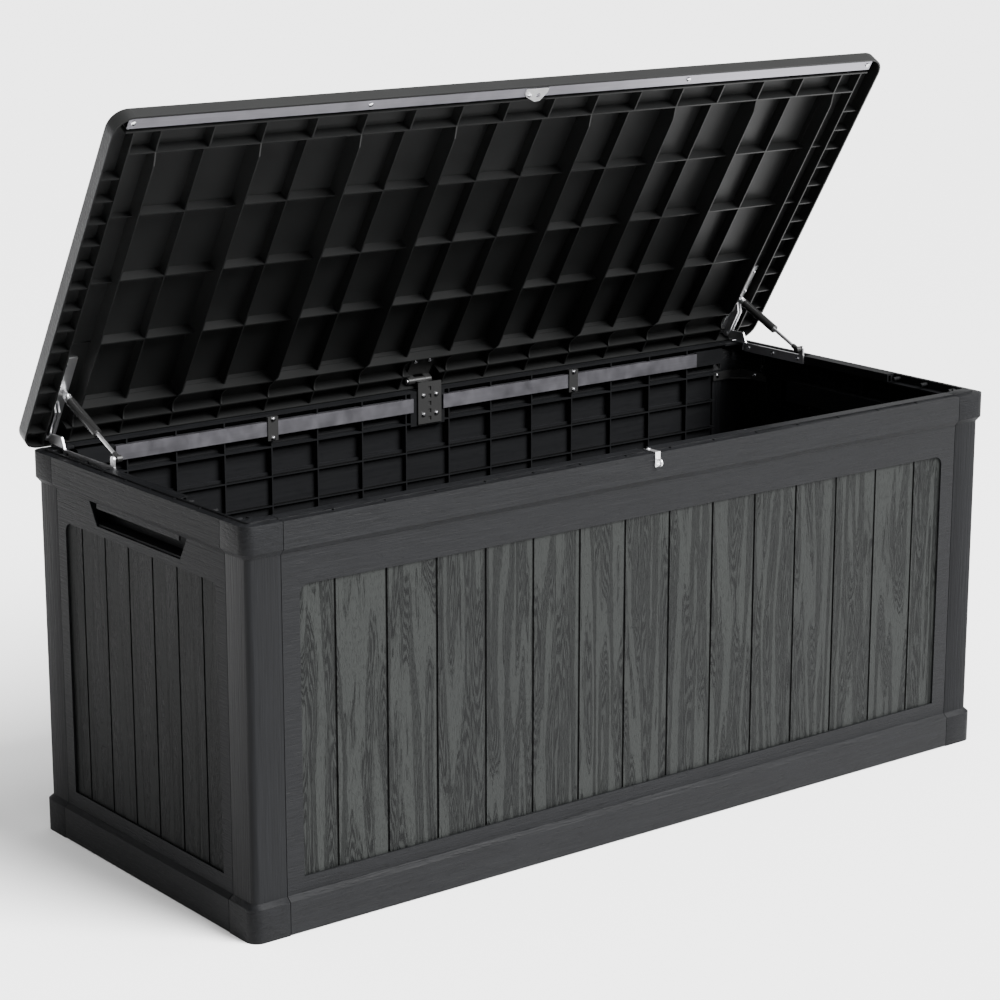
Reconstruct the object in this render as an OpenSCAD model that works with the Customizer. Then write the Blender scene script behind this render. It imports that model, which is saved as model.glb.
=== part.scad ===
/* [Box] */
// Width over the rim, left to right
rim_width = 1500; // [1000:10:1900]
// Depth over the rim, front to back
rim_depth = 615; // [500:5:800]
// Height of the rim's top ledge above the ground
rim_height = 624; // [480:2:800]
// Thickness of the moulded skins
skin = 3; // [2:0.5:4]
// How far the rim and the plinth stand out from the body
overhang = 8; // [4:1:12]
// Radius of the upright corners at the rim and plinth
rim_corner_radius = 19; // [12:1:30]
// Radius of the upright corners of the body
body_corner_radius = 10; // [1:0.5:14]
// Length of a corner post along either wall, from the outer rim edge
post_length = 65; // [55:1:90]
// Width of the seam line between a panel and a post
seam_gap = 1; // [0.4:0.2:2]
// Clearance of the wall panels above the ground
panel_foot = 1.5; // [0:0.5:4]

/* [Rim and plinth] */
// Height of the plinth's upright face
plinth_height = 52; // [30:1:80]
// Height of the sloped shoulder above the plinth
plinth_shoulder = 6.7; // [3:0.1:12]
// Height of the rim's upright face
rim_face = 41.5; // [25:0.5:60]
// Height of the sloped shoulder under the rim
rim_shoulder = 9; // [4:0.5:14]
// Width of the rim's flat outer ledge
ledge_width = 14; // [8:1:20]
// Distance from the rim's outer edge to the mouth of the box
rim_reach = 33; // [28:1:45]
// Height of the raised inner lip above the ledge
lip_height = 2.5; // [1:0.5:2.5]
// Depth of the lip's inner wall
lip_drop = 14.5; // [8:0.5:20]
// Width of the flat ledge behind the lip, along the back wall
back_ledge_width = 7; // [6.5:0.5:14]
// Radius of the mouth's inner corners
mouth_corner_radius = 22; // [5:1:26]

/* [Wall panels] */
// Distance from the rim's outer edge to the side of the plank field, long walls
long_field_inset = 95.5; // [80:0.5:120]
// Distance from the rim's outer edge to the side of the plank field, side walls
side_field_inset = 89.5; // [80:0.5:110]
// Height of the bottom of the plank field
field_bottom = 83; // [70:1:110]
// Distance from the rim's shoulder down to the top of the plank field
field_drop = 49.5; // [44:0.5:70]
// Depth of the plank field below the frame around it
field_depth = 4; // [2:0.5:5]
// Thickness of the planks
plank_thickness = 4; // [3:0.5:5]
// Radius of the plank field's upper corners
field_corner_radius = 15; // [5:1:25]
// Width of the grooves between planks
groove_width = 4; // [2:0.5:6]
// Depth of the grooves between planks
groove_depth = 2; // [1:0.25:2.5]
// Thickness of the stiffening ribs
rib_thickness = 2.5; // [2:0.5:4]
// Depth of the wall ribs behind the body face
wall_rib_depth = 16.5; // [12:0.5:20]
// Upright spacing of the level wall ribs
wall_rib_rise = 50; // [35:1:80]

/* [Hand grips] */
// Width of a hand grip at its top
grip_width = 282; // [200:2:300]
// Width of a hand grip along its bottom edge
grip_bottom_width = 240; // [160:2:260]
// Height of the hand grip opening
grip_height = 36; // [30:1:50]
// Width of the lip the fingers hook behind
grip_lip_width = 238; // [150:2:250]
// Height of the lip the fingers hook behind
grip_lip_height = 8; // [5:1:12]
// Depth of the hand grip
grip_depth = 28; // [22:1:34]

/* [Floor] */
// Height of the underside of the floor sheet
floor_height = 13; // [8:1:25]
// Number of bays between the floor ribs, left to right
floor_bays = 12; // [6:2:20]

/* [Lid] */
// How far the lid stands out past the rim at each side
lid_side_overlap = 18; // [16:1:26]
// How far the lid stands out past the rim at the front
lid_front_overlap = 8.5; // [7:0.5:16]
// Distance from the hinge line to the lid's rear edge
lid_rear_reach = 10.4; // [10:0.1:11]
// Height of the closed lid's edge above the ledge
lid_gap = 2.8; // [2.8:0.1:6]
// Height of the lid's border above its lower edge
lid_border = 26; // [25:0.5:32]
// Height of the raised middle of the lid above its lower edge
lid_crown = 35; // [32:0.5:45]
// Radius of the lid's corners in plan
lid_corner_radius = 32; // [24:1:45]
// Distance from the lid's rear edge to its raised middle
lid_field_rear = 66; // [60:1:90]
// Distance from the lid's front edge to its raised middle
lid_field_front = 68.6; // [60:0.2:90]
// Distance from the lid's side edge to its raised middle
lid_field_side = 85.5; // [80:0.5:110]
// Opening angle of the lid
lid_open_angle = 58.8; // [30:0.2:75]

/* [Hinges and struts] */
// Distance of the hinge line behind the rim
hinge_back = 1.5; // [0:0.5:3]
// Height of the hinge line above the ledge
hinge_rise = 15.4; // [15.4:0.1:18]
// Radius of the hinge pins at the ends
end_pin_radius = 3; // [2:0.5:4]
// Radius of the middle hinge's pin
centre_pin_radius = 2.5; // [2:0.25:3.5]
// Radial clearance of a moving part on its pin
pin_clearance = 0.05; // [0.02:0.01:0.1]
// Clearance beside a moving part
side_clearance = 0.3; // [0.2:0.1:0.6]
// Thickness of the steel plates
plate_thickness = 3; // [2:0.5:3]
// Distance of the strut's lid pivot from the hinge line, along the lid
strut_lid_reach = 82.1; // [70:0.1:100]
// Distance of the strut's lower pivot in front of the hinge line
strut_box_reach = 197.7; // [180:0.1:230]
// Radius of the strut's cylinder
strut_radius = 7.5; // [5:0.5:7.5]
// Radius of the strut's rod
rod_radius = 3; // [2:0.5:4]
// Length of the strut's cylinder
cylinder_length = 88; // [70:1:90]
// Distance from the rod's lower pivot to the rod's inner end
rod_reach = 93.5; // [80:0.5:100]

/* [Middle hinge] */
// Half the width of the bracket's front plate
centre_half = 24.5; // [20:0.5:28]
// Sideways place of the bracket's front plate
centre_x = 2.5; // [-3:0.5:3]
// Half the width of the bracket's knuckle
knuckle_half = 10; // [6:1:14]
// Half the width of the leaf on the lid
leaf_half = 24; // [18:1:28]

/* [Padlock staple] */
// Sideways place of the staple
staple_x = 7.5; // [-20:0.5:20]
// Half the width of the staple's strap
staple_half = 5; // [4:0.5:12]
// Thickness of the staple's strap
staple_plate = 2; // [1.5:0.25:2]
// Radius of the hole in the staple's eye
staple_eye_radius = 4; // [3:0.25:5]
// Thickness of the staple's eye
staple_tab = 3; // [2:0.5:5]

/* [Reinforcing bars] */
// Height of the bars along the back wall
back_bar_height = 24; // [18:1:30]
// Depth of the bars along the back wall
back_bar_depth = 10; // [8:1:14]
// Distance from the middle to the inner end of a back bar
back_bar_start = 31.7; // [28:0.1:50]
// Distance from the rim's end to the outer end of a back bar
back_bar_inset = 137; // [120:1:200]
// Width of the bar inside the lid's front edge
lid_bar_width = 20; // [14:1:24]
// Wall of the steel tubes
tube_wall = 1.5; // [1:0.25:2.5]

/* [Fasteners] */
// Radius of the screw heads
screw_head_radius = 4; // [3:0.25:4.5]
// Height of the screw heads
screw_head_height = 2.5; // [1.5:0.25:3]
// Radius of the screw shanks
screw_radius = 2; // [1.5:0.25:2.5]

/* [Hidden] */
$fn = 48;
eps = 0.01;
half_width = rim_width / 2;
half_depth = rim_depth / 2;
body_x = half_width - overhang;
body_y = half_depth - overhang;
long_seam = half_width - post_length;
side_seam = half_depth - post_length;
plinth_top = plinth_height + plinth_shoulder;
rim_foot = rim_height - rim_face;
shoulder_foot = rim_foot - rim_shoulder;
lip_top = rim_height + lip_height;
lip_foot = lip_top - lip_drop;
mouth_x = half_width - rim_reach;
mouth_y = half_depth - rim_reach;
rib_front = body_y - wall_rib_depth;

// Rib and groove lines: seven and a half bays each side of the middle
bays = 7.5;
bay = (half_width + lid_side_overlap - lid_field_side) / bays;
long_lines = [for (i = [-6.5:1:6.5]) i * bay];
side_bay = (half_depth - 64.6) / 3.5;
side_lines = [for (i = [-2.5:1:2.5]) i * side_bay];
long_field = half_width - long_field_inset;
side_field = half_depth - side_field_inset;
field_top = shoulder_foot - field_drop;
rib_stop = 21.5;
tongue_reach = 20;
// The tongues stop short of the sunk plank fields
tongue_x = max(long_seam - tongue_reach, long_field + 2);
tongue_y = max(side_seam - tongue_reach, side_field + 2);

// Hinge line, and the closed lid measured from its rear lower edge
hinge_y = half_depth + hinge_back;
hinge_z = rim_height + hinge_rise;
lid_rear = hinge_y + lid_rear_reach;
lid_z = rim_height + lid_gap;
lid_half = half_width + lid_side_overlap;
lid_length = lid_rear + half_depth + lid_front_overlap;
hinge_s = lid_rear_reach;
hinge_t = hinge_z - lid_z;
field_s0 = lid_field_rear;
field_s1 = lid_length - lid_field_front;
lid_field = lid_half - lid_field_side;
border_under = lid_border - skin;
crown_under = lid_crown - skin;
rib_low = 4;
side_rib = lid_half - 39.5;
// The skirt and border, their top edge eased in small steps
lid_edge_steps = [[0, 0], [5, 0.5], [3.6, 1.3], [2.4, 2.4], [1.2, 4]];

// Lid bar
lid_bar_top = border_under;
lid_bar_bottom = 5;
lid_bar_s1 = lid_length - skin - 1;
lid_bar_s0 = lid_bar_s1 - lid_bar_width;
lid_bar_half = lid_half - 25;
lid_bar_screws = [for (x = [-1, 1], k = [lid_bar_half - 8.5, 3.5 * bay + 2]) x * k];

// Brackets and struts, all beside the mouth's end walls
plate_x1 = mouth_x;
plate_x0 = plate_x1 - plate_thickness;
flange_in = plate_x0 - side_clearance - plate_thickness;
flange_out = plate_x1 + side_clearance;
web_under = border_under - plate_thickness;
knuckle_radius = 6;
strut_x = plate_x0 - strut_radius - 1;
pivot_s = hinge_s + strut_lid_reach;
pivot_t = hinge_t - 0.8;
pivot_y = lid_rear - pivot_s;
pivot_z = lid_z + pivot_t;
foot_y = hinge_y - strut_box_reach;
foot_z = hinge_z - 0.3;
open_y = hinge_y + (pivot_y - hinge_y) * cos(lid_open_angle) + (pivot_z - hinge_z) * sin(lid_open_angle);
open_z = hinge_z - (pivot_y - hinge_y) * sin(lid_open_angle) + (pivot_z - hinge_z) * cos(lid_open_angle);
strut_angle = atan2(foot_z - open_z, foot_y - open_y);
strut_length = norm([foot_y - open_y, foot_z - open_z]);
cylinder_start = 14;
cylinder_end = cylinder_start + cylinder_length;
tab_half = plate_thickness / 2;
ear_thickness = 2.5;
pivot_pin_radius = 3;

// Screw places
peg_z = lip_foot + 8;
peg_y = [half_depth - 187.5, half_depth - 122.5];
post_peg_y = half_depth - 57.5;
pocket_y0 = peg_y[0] - 15;
pocket_y1 = post_peg_y + 20;
centre_screws = [for (x = [centre_x - 13.5, centre_x + 13.5], z = [lip_top - 41.5, lip_top - 8.5]) [x, z]];
bar_top = rim_height - 9;
bar_bottom = bar_top - back_bar_height;
bar_y0 = rib_front - 3;
strap_x = 3.5 * bay;
strap_screws = [for (x = [-strap_x, strap_x], z = [bar_bottom - 4, bar_top + 4]) [x, z]];
brace_z = shoulder_foot - 8;
brace_screw_x = long_seam - 10;
brace_screw_y = side_seam + 10;
bracket_bolts = [pivot_s + 13, pivot_s + 58];
leaf_screws = [for (x = [-15, 15]) [x, hinge_s + 38]];
staple_y = -half_depth + ledge_width + 8;
latch_s = lid_bar_s0 + 5;

// ---------- helpers ----------

module block(x0, x1, y0, y1, z0, z1)
  translate([x0, y0, z0]) cube([x1 - x0, y1 - y0, z1 - z0]);

module both_sides() {
  children();
  mirror([1, 0, 0]) children();
}

module left_side() mirror([1, 0, 0]) children();

// A run of a (depth, height) section along X
module run_x(length) rotate([90, 0, 90]) linear_extrude(length, center = true) children();

// A (depth, height) outline made into a plate standing between x0 and x1
module upright_plate(x0, x1) translate([x0, 0, 0]) rotate([90, 0, 90]) linear_extrude(x1 - x0) children();

module rod_x(x0, x1, y, z, radius)
  translate([x0, y, z]) rotate([0, 90, 0]) cylinder(h = x1 - x0, r = radius);

module rod_y(x, y0, y1, z, radius)
  translate([x, y1, z]) rotate([90, 0, 0]) cylinder(h = y1 - y0, r = radius);

// A pan head screw pointing along +Z, its head below z = 0
module screw(length) {
  translate([0, 0, -screw_head_height]) cylinder(h = screw_head_height, r = screw_head_radius);
  cylinder(h = length, r = screw_radius);
}

// Rounded rectangle in plan, grown outwards from the body faces
module plan(grow, radius) {
  x = body_x + grow;
  y = body_y + grow;
  square([2 * x, 2 * (y - radius)], center = true);
  square([2 * (x - radius), 2 * y], center = true);
  for (i = [-1, 1], j = [-1, 1]) translate([i * (x - radius), j * (y - radius)]) circle(r = radius);
}

// ---------- wall panels ----------

// Cross-section of a wall: depth outwards from the body face, height
module wall_section(lip_reach, drop, ledge) {
  inner = overhang - lip_reach;
  step = overhang - ledge;
  polygon([
    [overhang, panel_foot], [overhang, plinth_height], [0, plinth_top], [0, shoulder_foot],
    [overhang, rim_foot], [overhang, rim_height], [step, rim_height], [step, lip_top],
    [inner, lip_top], [inner, lip_top - drop], [inner + skin, lip_top - drop],
    [inner + skin, lip_top - skin], [step - skin, lip_top - skin], [step - skin, rim_height - skin],
    [overhang - skin, rim_height - skin], [overhang - skin, rim_foot + 1.3],
    [-skin, shoulder_foot + 1.3], [-skin, plinth_top - 1.1],
    [overhang - skin, plinth_height - 1.1], [overhang - skin, panel_foot]
  ]);
}

module field_outline(half, bottom, top, radius) {
  translate([-half, bottom]) square([2 * half, top - radius - bottom]);
  translate([radius - half, bottom]) square([2 * (half - radius), top - bottom]);
  for (i = [-1, 1]) translate([i * (half - radius), top - radius]) circle(r = radius);
}

// The outline stood upright, filling the depths from y0 to y1
module field_slab(half, y0, y1, grow)
  translate([0, y1, 0]) rotate([90, 0, 0]) linear_extrude(y1 - y0)
    field_outline(half + grow, field_bottom - grow, field_top + grow, field_corner_radius + grow);

module wall_ribs(half, lines) {
  for (x = lines)
    block(x - rib_thickness / 2, x + rib_thickness / 2, -wall_rib_depth, -1,
          floor_height + skin + 1, lip_top - 1);
  for (z = [shoulder_foot - rib_thickness : -wall_rib_rise : plinth_top + 20])
    block(rib_stop - half, half - rib_stop, -wall_rib_depth, -1, z - rib_thickness / 2, z + rib_thickness / 2);
  block(rib_stop - half, half - rib_stop, -wall_rib_depth, overhang - 1, floor_height - skin, floor_height);
}

// A panel facing +Y, its body face at y = 0
module wall_panel(half, field, lines, lip_reach, drop, ledge) {
  difference() {
    union() {
      run_x(2 * half - seam_gap) wall_section(lip_reach, drop, ledge);
      wall_ribs(half, lines);
      field_slab(field, -field_depth - plank_thickness, -field_depth, skin);
    }
    field_slab(field, -field_depth, overhang + 1, 0);
    for (x = lines)
      block(x - groove_width / 2, x + groove_width / 2, -field_depth - groove_depth, overhang + 1,
            field_bottom, field_top);
  }
}

// The skin behind the brace screws takes their points
module long_brace_holes()
  both_sides() rod_y(brace_screw_x, body_y - 12, body_y - 1, brace_z, screw_radius);

module side_brace_holes()
  for (j = [-1, 1]) both_sides()
    rod_x(body_x - 12, body_x - 1, j * brace_screw_y, brace_z, screw_radius);

// The lip is cut away round the padlock staple, down to a seat level with the ledge
module front_panel() {
  x0 = staple_x - staple_half - 9;
  x1 = staple_x + staple_half + 1;
  color("#565750") difference() {
    union() {
      difference() {
        mirror([0, 1, 0]) translate([0, body_y, 0])
          wall_panel(long_seam, long_field, long_lines, rim_reach, lip_drop, ledge_width);
        block(x0, x1, -half_depth + ledge_width, -mouth_y + 1, rim_height, lip_top + 1);
      }
      block(x0 - 2, x1 + 2, -half_depth + ledge_width - skin, -mouth_y, rim_height - skin, rim_height);
    }
    mirror([0, 1, 0]) long_brace_holes();
    staple_hole();
  }
}

module back_bar_space()
  both_sides() block(back_bar_start, half_width - back_bar_inset, bar_y0, bar_y0 + back_bar_depth,
                     bar_bottom, bar_top);

module back_panel() {
  block_end = half_width - 70;
  color("#565750") difference() {
    union() {
      translate([0, body_y, 0])
        wall_panel(long_seam, long_field, long_lines, overhang + wall_rib_depth, skin, back_ledge_width);
      block(-36, 36, rib_front, body_y - 1, bar_bottom - 25, lip_top - 1);
      both_sides() block(half_width - back_bar_inset, block_end, rib_front, half_depth - 1,
                         bar_bottom - 1, bar_top + 2);
      for (p = strap_screws) block(p[0] - 9, p[0] + 9, rib_front, body_y - 1, p[1] - 4, p[1] + 4);
    }
    back_bar_space();
    long_brace_holes();
    for (p = strap_screws) rod_y(p[0], rib_front - 1, rib_front + 10, p[1], screw_radius);
    for (p = centre_screws) rod_y(p[0], rib_front - 1, rib_front + 10, p[1], screw_radius);
  }
}

// Trapezium mouth of a hand grip, less the lip the fingers hook behind
module grip_outline() difference() {
  polygon([
    [-grip_width / 2, shoulder_foot], [grip_width / 2, shoulder_foot],
    [grip_bottom_width / 2, shoulder_foot - grip_height],
    [-grip_bottom_width / 2, shoulder_foot - grip_height]
  ]);
  translate([-grip_lip_width / 2, shoulder_foot - grip_lip_height])
    square([grip_lip_width, grip_lip_height + 1]);
}

module grip_space() {
  translate([0, 1, 0]) rotate([90, 0, 0]) linear_extrude(skin + 2) grip_outline();
  block(-grip_width / 2, grip_width / 2, -grip_depth, -skin,
        shoulder_foot - grip_height + 3, shoulder_foot - 1);
}

// Open pocket in the mouth's end wall, with the pegs the hinge plates screw to
module lip_pocket(y0, y1)
  block(mouth_x - 1, half_width - ledge_width - skin, y0, y1, lip_foot + 1, lip_top + 1);

module pocket_shell(y0, y1) {
  block(mouth_x, half_width - ledge_width, y0, y1, lip_foot - 2, lip_foot + 1);
  block(half_width - ledge_width - skin, half_width - ledge_width, y0, y1, lip_foot - 2, rim_height - 1);
}

module peg(y)
  rod_x(mouth_x, half_width - ledge_width - 1, y, peg_z, screw_radius + 1.5);

module peg_hole(y)
  rod_x(mouth_x - 1, mouth_x + 12, y, peg_z, screw_radius);

// The right-hand side panel, facing +X
module side_panel() {
  end = side_seam - seam_gap / 2;
  difference() {
    union() {
      difference() {
        translate([body_x, 0, 0]) rotate([0, 0, -90]) difference() {
          union() {
            wall_panel(side_seam, side_field, side_lines, rim_reach, lip_drop, ledge_width);
            block(-grip_width / 2 - skin, grip_width / 2 + skin, -grip_depth - skin, -1,
                  shoulder_foot - grip_height, shoulder_foot + 2);
          }
          grip_space();
        }
        for (j = [0, 1]) mirror([0, j, 0]) lip_pocket(pocket_y0, end + 1);
      }
      for (j = [0, 1]) mirror([0, j, 0]) {
        pocket_shell(pocket_y0, end);
        for (y = peg_y) peg(y);
      }
    }
    for (y = peg_y) peg_hole(y);
    side_brace_holes();
  }
}

module side_panel_right() color("#4e4f49") side_panel();

module side_panel_left() color("#4e4f49") left_side() side_panel();

// ---------- corner posts ----------

module post_region(z0, z1, grow)
  translate([0, 0, z0]) linear_extrude(z1 - z0) intersection() {
    children();
    translate([long_seam + seam_gap / 2 - grow, side_seam + seam_gap / 2 - grow])
      square([post_length + grow, post_length + grow]);
  }

// Sloped shoulder round the corner, from the body face out to the rim face
module post_shoulder(z_in, z_out, z_back) {
  cx = half_width - rim_corner_radius;
  cy = half_depth - rim_corner_radius;
  translate([cx, cy, 0]) rotate_extrude(angle = 90)
    polygon([[0, z_in], [rim_corner_radius - overhang, z_in], [rim_corner_radius, z_out],
             [rim_corner_radius, z_back], [0, z_back]]);
  translate([long_seam + seam_gap / 2, 0, 0]) rotate([90, 0, 90])
    linear_extrude(cx - long_seam - seam_gap / 2)
      polygon([[body_y - skin, z_in], [body_y, z_in], [half_depth, z_out], [half_depth, z_back],
               [body_y - skin, z_back]]);
  translate([0, cy, 0]) rotate([90, 0, 0]) linear_extrude(cy - side_seam - seam_gap / 2)
    polygon([[body_x - skin, z_in], [body_x, z_in], [half_width, z_out], [half_width, z_back],
             [body_x - skin, z_back]]);
}

// The back right post; the lip reaches in by lip_y along the long wall
module corner_post(lip_y, ledge_y) {
  difference() {
    union() {
      post_region(0, plinth_height, 0) difference() {
        plan(overhang, rim_corner_radius);
        plan(overhang - skin, rim_corner_radius - skin);
      }
      post_region(0, lip_foot, 0) difference() {
        plan(0, body_corner_radius);
        plan(-skin, 1);
      }
      post_region(plinth_height - 1, plinth_height, 0) difference() {
        plan(overhang, rim_corner_radius);
        plan(-skin, 1);
      }
      post_shoulder(plinth_top, plinth_height, plinth_height - 1);
      post_shoulder(shoulder_foot, rim_foot, rim_foot + 1);
      post_region(rim_foot, rim_height, 0) difference() {
        plan(overhang, rim_corner_radius);
        plan(overhang - skin, rim_corner_radius - skin);
      }
      post_region(rim_height - skin, rim_height, 0) difference() {
        plan(overhang, rim_corner_radius);
        plan(overhang - ledge_width - skin, 1);
      }
      post_region(rim_height - skin, lip_top, 0) difference() {
        plan(overhang - ledge_width, rim_corner_radius - ledge_width + 4);
        square([2 * mouth_x, 2 * (half_depth - lip_y)], center = true);
      }
      block(long_seam + seam_gap / 2, mouth_x, half_depth - lip_y, half_depth - ledge_y,
            rim_height - skin, lip_top);
      translate([mouth_x, half_depth - lip_y, rim_height - skin])
        linear_extrude(lip_top - rim_height + skin) difference() {
          translate([-mouth_corner_radius, -mouth_corner_radius])
            square([mouth_corner_radius + 1, mouth_corner_radius + 1]);
          translate([-mouth_corner_radius, -mouth_corner_radius]) circle(r = mouth_corner_radius);
        }
      post_region(lip_foot - 2, lip_top, 0) intersection() {
        square([2 * (mouth_x + skin), 2 * (half_depth - lip_y)], center = true);
        translate([mouth_x, 0]) square([skin, half_depth]);
      }
      pocket_shell(side_seam + seam_gap / 2, pocket_y1);
      peg(post_peg_y);
      // Ledge inside the plinth that carries the floor
      post_region(floor_height - skin, floor_height, 0) difference() {
        plan(overhang - 1, rim_corner_radius - 1);
        plan(-wall_rib_depth, 1);
      }
      // Tongues behind the two panels
      block(tongue_x, long_seam + 3, body_y - 2 * skin, body_y - skin, 20, shoulder_foot - 1);
      block(body_x - 2 * skin, body_x - skin, tongue_y, side_seam + 3, 20, shoulder_foot - 1);
    }
    difference() {
      lip_pocket(side_seam, pocket_y1);
      peg(post_peg_y);
    }
    peg_hole(post_peg_y);
    long_brace_holes();
    side_brace_holes();
  }
}

module corner_post_back_right() color("#55564f") corner_post(overhang + wall_rib_depth, back_ledge_width);

module corner_post_back_left() color("#55564f") left_side() corner_post(overhang + wall_rib_depth, back_ledge_width);

module corner_post_front_right() color("#55564f") mirror([0, 1, 0]) corner_post(rim_reach, ledge_width);

module corner_post_front_left() color("#55564f") left_side() mirror([0, 1, 0]) corner_post(rim_reach, ledge_width);

// ---------- floor ----------

module floor_panel() {
  x = body_x - skin - 0.5;
  y = body_y - skin - 0.5;
  color("#3f403b") {
    block(-x, x, -y, y, floor_height, floor_height + skin);
    for (i = [-floor_bays / 2 : floor_bays / 2]) {
      cx = i * 2 * (x - 30) / floor_bays;
      block(cx - rib_thickness / 2, cx + rib_thickness / 2, -y + 30, y - 30, 0, floor_height + 1);
    }
    for (j = [-2:2]) {
      cy = j * (y - 32) / 2;
      block(-x + 30, x - 30, cy - rib_thickness / 2, cy + rib_thickness / 2, 0, floor_height + 1);
    }
  }
}

// ---------- braces ----------

module corner_brace() {
  x = body_x - 2 * skin;
  y = body_y - 2 * skin;
  difference() {
    union() {
      block(long_seam - tongue_reach, x, y - skin, y, brace_z - 9, brace_z + 6);
      block(long_seam + 5, x, y - 1, y + skin, brace_z - 9, brace_z + 6);
      block(x - skin, x, side_seam - tongue_reach, y, brace_z - 9, brace_z + 6);
      block(x - 1, x + skin, side_seam + 5, y, brace_z - 9, brace_z + 6);
      translate([x - skin, y - skin, brace_z - 9]) linear_extrude(skin)
        polygon([[1, 1], [-28, 1], [-28, -1], [-1, -28], [1, -28]]);
    }
    long_brace_holes();
    side_brace_holes();
  }
}

module corner_braces() color("#2d2e2b")
  for (j = [0, 1]) mirror([0, j, 0]) both_sides() corner_brace();

module corner_brace_screws() color("#b8babd")
  for (j = [0, 1]) mirror([0, j, 0]) both_sides() {
    translate([brace_screw_x, body_y - 3 * skin, brace_z]) rotate([-90, 0, 0]) screw(3 * skin - 1);
    translate([body_x - 3 * skin, brace_screw_y, brace_z]) rotate([0, 90, 0]) screw(3 * skin - 1);
  }

// ---------- back bars ----------

module back_bar() difference() {
  block(back_bar_start, half_width - back_bar_inset, bar_y0, bar_y0 + back_bar_depth, bar_bottom, bar_top);
  block(back_bar_start - 1, half_width - back_bar_inset + 1, bar_y0 + tube_wall,
        bar_y0 + back_bar_depth - tube_wall, bar_bottom + tube_wall, bar_top - tube_wall);
}

module back_bar_right() color("#7c7683") back_bar();

module back_bar_left() color("#7c7683") left_side() back_bar();

module bar_straps() color("#232422") both_sides() difference() {
  union() {
    block(strap_x - 10, strap_x + 10, bar_y0 - 2, bar_y0, bar_bottom - 8, bar_top + 8);
    block(strap_x - 10, strap_x + 10, bar_y0, rib_front, bar_bottom - 8, bar_bottom);
    block(strap_x - 10, strap_x + 10, bar_y0, rib_front, bar_top, bar_top + 8);
  }
  for (p = strap_screws) rod_y(p[0], bar_y0 - 3, rib_front + 1, p[1], screw_radius);
}

module bar_strap_screws() color("#b8babd")
  for (p = strap_screws) translate([p[0], bar_y0 - 2, p[1]]) rotate([-90, 0, 0]) screw(13);

// ---------- middle hinge ----------

module centre_hinge_bracket() color("#232422") difference() {
  union() {
    block(centre_x - centre_half, centre_x + centre_half, bar_y0, rib_front, bar_bottom - 22, lip_top + 14.5);
    block(-knuckle_half, knuckle_half, bar_y0, hinge_y, hinge_z - knuckle_radius - 1.4, hinge_z);
    rod_x(-knuckle_half, knuckle_half, hinge_y, hinge_z, knuckle_radius);
  }
  for (p = centre_screws) rod_y(p[0], bar_y0 - 1, rib_front + 1, p[1], screw_radius);
  for (i = [0:4]) block(centre_x - 3, centre_x + 3, bar_y0 - 1, bar_y0 + 2, bar_bottom - 17 + 13 * i,
                        bar_bottom - 10 + 13 * i);
  rod_x(-knuckle_half - 1, knuckle_half + 1, hinge_y, hinge_z, centre_pin_radius);
}

module centre_bracket_screws() color("#c4c6c9")
  for (p = centre_screws) translate([p[0], bar_y0, p[1]]) rotate([-90, 0, 0]) screw(12);

module centre_hinge_pin() color("#c4c6c9") {
  rod_x(-leaf_half - 2, leaf_half + 2, hinge_y, hinge_z, centre_pin_radius);
  rod_x(-leaf_half - 2, -leaf_half - 0.5, hinge_y, hinge_z, centre_pin_radius + 1.5);
}

// ---------- end hinge plates ----------

module hinge_plate() difference() {
  upright_plate(plate_x0, plate_x1) {
    translate([pocket_y0, lip_foot]) square([post_peg_y + 12 - pocket_y0, 16]);
    translate([foot_y - 5.5, lip_foot + 15]) square([11, foot_z - lip_foot - 15]);
    translate([foot_y, foot_z]) circle(r = 5.5);
    polygon([
      [post_peg_y + 4, lip_foot], [post_peg_y + 12, lip_foot], [post_peg_y + 12, lip_foot + 16.6],
      [hinge_y - 4, lip_foot + 19], [hinge_y, hinge_z - 6.5], [hinge_y, hinge_z + 6.5],
      [post_peg_y + 16, hinge_z + 6.5], [post_peg_y + 6, lip_foot + 11]
    ]);
    translate([hinge_y, hinge_z]) circle(r = 6.5);
  }
  for (y = [peg_y[0], peg_y[1], post_peg_y]) rod_x(plate_x0 - 1, plate_x1 + 1, y, peg_z, screw_radius);
  rod_x(plate_x0 - 1, plate_x1 + 1, hinge_y, hinge_z, end_pin_radius);
}

module hinge_plate_right() color("#8d8f92") hinge_plate();

module hinge_plate_left() color("#8d8f92") left_side() hinge_plate();

module hinge_plate_screws() color("#b8babd") both_sides()
  for (y = [peg_y[0], peg_y[1], post_peg_y])
    translate([plate_x0, y, peg_z]) rotate([0, 90, 0]) screw(plate_thickness + 11);

module end_hinge_pins() color("#c4c6c9") both_sides() {
  rod_x(flange_in - 1.5, flange_out + plate_thickness + 1.5, hinge_y, hinge_z, end_pin_radius);
  rod_x(flange_in - 1.5, flange_in - 0.3, hinge_y, hinge_z, end_pin_radius + 2);
  rod_x(flange_out + plate_thickness + 0.3, flange_out + plate_thickness + 1.5, hinge_y, hinge_z,
        end_pin_radius + 2);
}

// ---------- padlock staple ----------

module staple_hole()
  translate([staple_x, staple_y, rim_height - skin - 1]) cylinder(h = skin + staple_plate + 2, r = screw_radius);

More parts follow.
